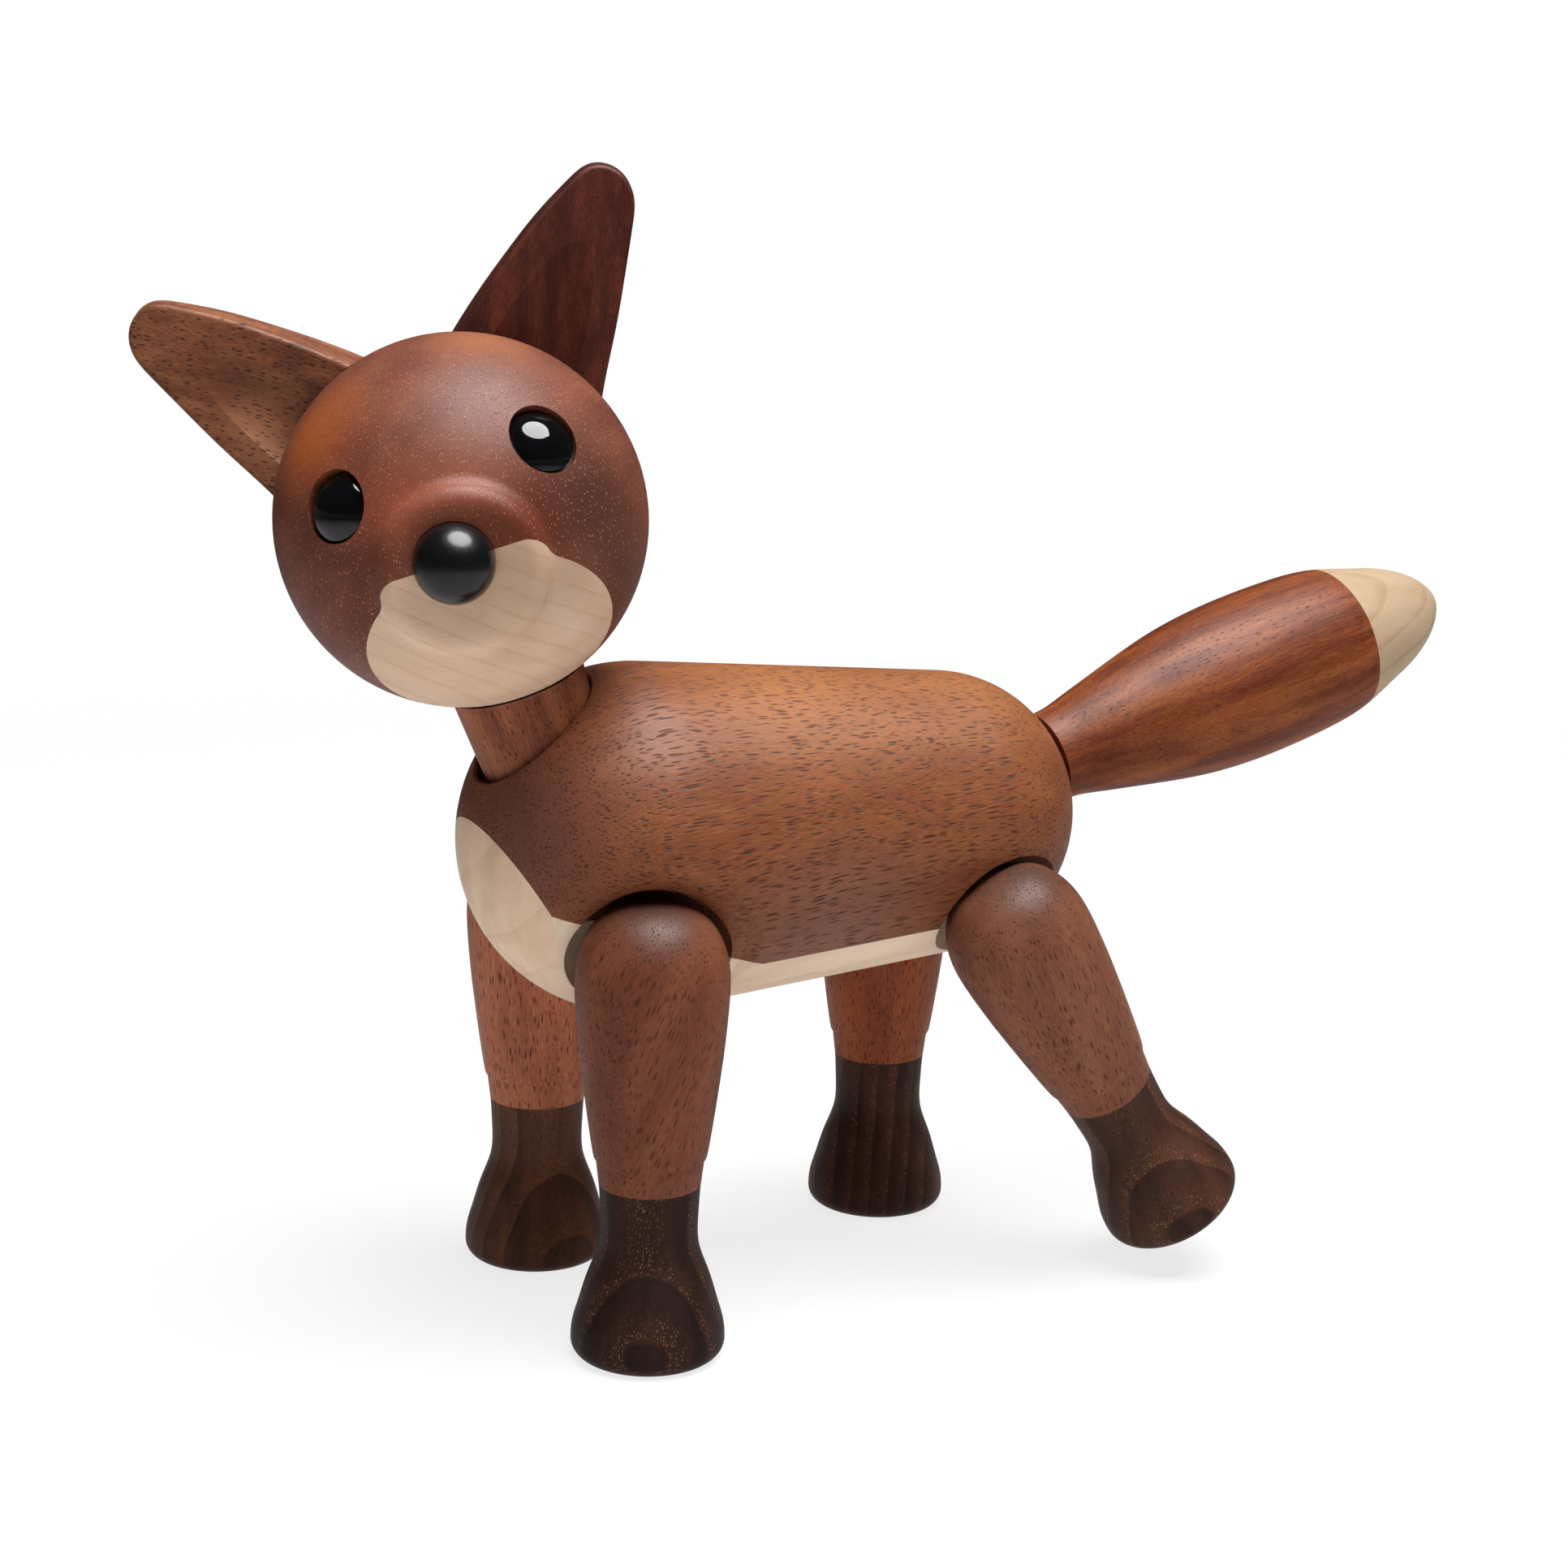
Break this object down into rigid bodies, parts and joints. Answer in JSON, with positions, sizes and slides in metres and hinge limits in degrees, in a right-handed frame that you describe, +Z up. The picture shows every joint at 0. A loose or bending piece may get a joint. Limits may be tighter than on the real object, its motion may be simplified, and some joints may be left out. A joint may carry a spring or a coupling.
{
  "type": "articulated animal figurine",
  "caption": "Articulated wooden fox figurine with turning head, turning tail and swinging legs.",
  "frame": {"origin": "on the ground, below the middle of the whole figure", "axes": "+Z up, nose end towards -Y, tail towards +Y, the fox's left side towards +X"},
  "size_m": [0.0753, 0.2451, 0.1932],
  "materials": {
    "mahogany": "oiled satin",
    "walnut": "oiled satin",
    "maple": "oiled satin",
    "beech": "plain",
    "black_wood": "satin lacquer",
    "black_gloss": "gloss",
    "rubber": "matte"
  },
  "bodies": {
    "torso": {"body_block": "mahogany", "chest_bib": "maple", "belly_plate": "maple", "neck": "mahogany", "neck_top_ring": "rubber"},
    "head": {"head_ball": "mahogany", "muzzle": "maple", "muzzle_dowel": "beech", "nose": "black_wood", "nose_dowel": "beech", "eye_left": "black_gloss", "eye_right": "black_gloss", "ear_left": "mahogany", "ear_right": "mahogany", "ear_dowel_left": "beech", "ear_dowel_right": "beech"},
    "tail": {"tail": "mahogany", "tail_tip": "maple", "tip_dowel": "beech", "tail_dowel": "beech", "tail_ring": "rubber"},
    "leg_front_left": {"leg_front_left": "mahogany", "foot_front_left": "walnut", "foot_dowel_front_left": "beech", "hip_dowel_front_left": "beech", "hip_ring_front_left": "rubber"},
    "leg_front_right": {"leg_front_right": "mahogany", "foot_front_right": "walnut", "foot_dowel_front_right": "beech", "hip_dowel_front_right": "beech", "hip_ring_front_right": "rubber"},
    "leg_hind_left": {"leg_hind_left": "mahogany", "foot_hind_left": "walnut", "foot_dowel_hind_left": "beech", "hip_dowel_hind_left": "beech", "hip_ring_hind_left": "rubber"},
    "leg_hind_right": {"leg_hind_right": "mahogany", "foot_hind_right": "walnut", "foot_dowel_hind_right": "beech", "hip_dowel_hind_right": "beech", "hip_ring_hind_right": "rubber"}
  },
  "joints": [
    {"name": "head_turn", "type": "hinge", "parent": "torso", "child": "head", "pos_m": [0, -0.07613, 0.13636], "axis": [0, -0.342, 0.9397], "continuous": true},
    {"name": "tail_turn", "type": "hinge", "parent": "torso", "child": "tail", "pos_m": [0, 0.01257, 0.08297], "axis": [0, 0.9588, 0.284], "continuous": true},
    {"name": "hip_front_left", "type": "hinge", "parent": "torso", "child": "leg_front_left", "pos_m": [0.02485, -0.05258, 0.06357], "axis": [1, 0, 0], "range_deg": [-47, 6]},
    {"name": "hip_front_right", "type": "hinge", "parent": "torso", "child": "leg_front_right", "pos_m": [-0.02485, -0.05258, 0.06357], "axis": [1, 0, 0], "range_deg": [-47, 6]},
    {"name": "hip_hind_left", "type": "hinge", "parent": "torso", "child": "leg_hind_left", "pos_m": [0.02485, 0.01732, 0.06357], "axis": [1, 0, 0], "range_deg": [-69.5, 26.5]},
    {"name": "hip_hind_right", "type": "hinge", "parent": "torso", "child": "leg_hind_right", "pos_m": [-0.02485, 0.01732, 0.06357], "axis": [1, 0, 0], "range_deg": [-36, 60]}
  ]
}
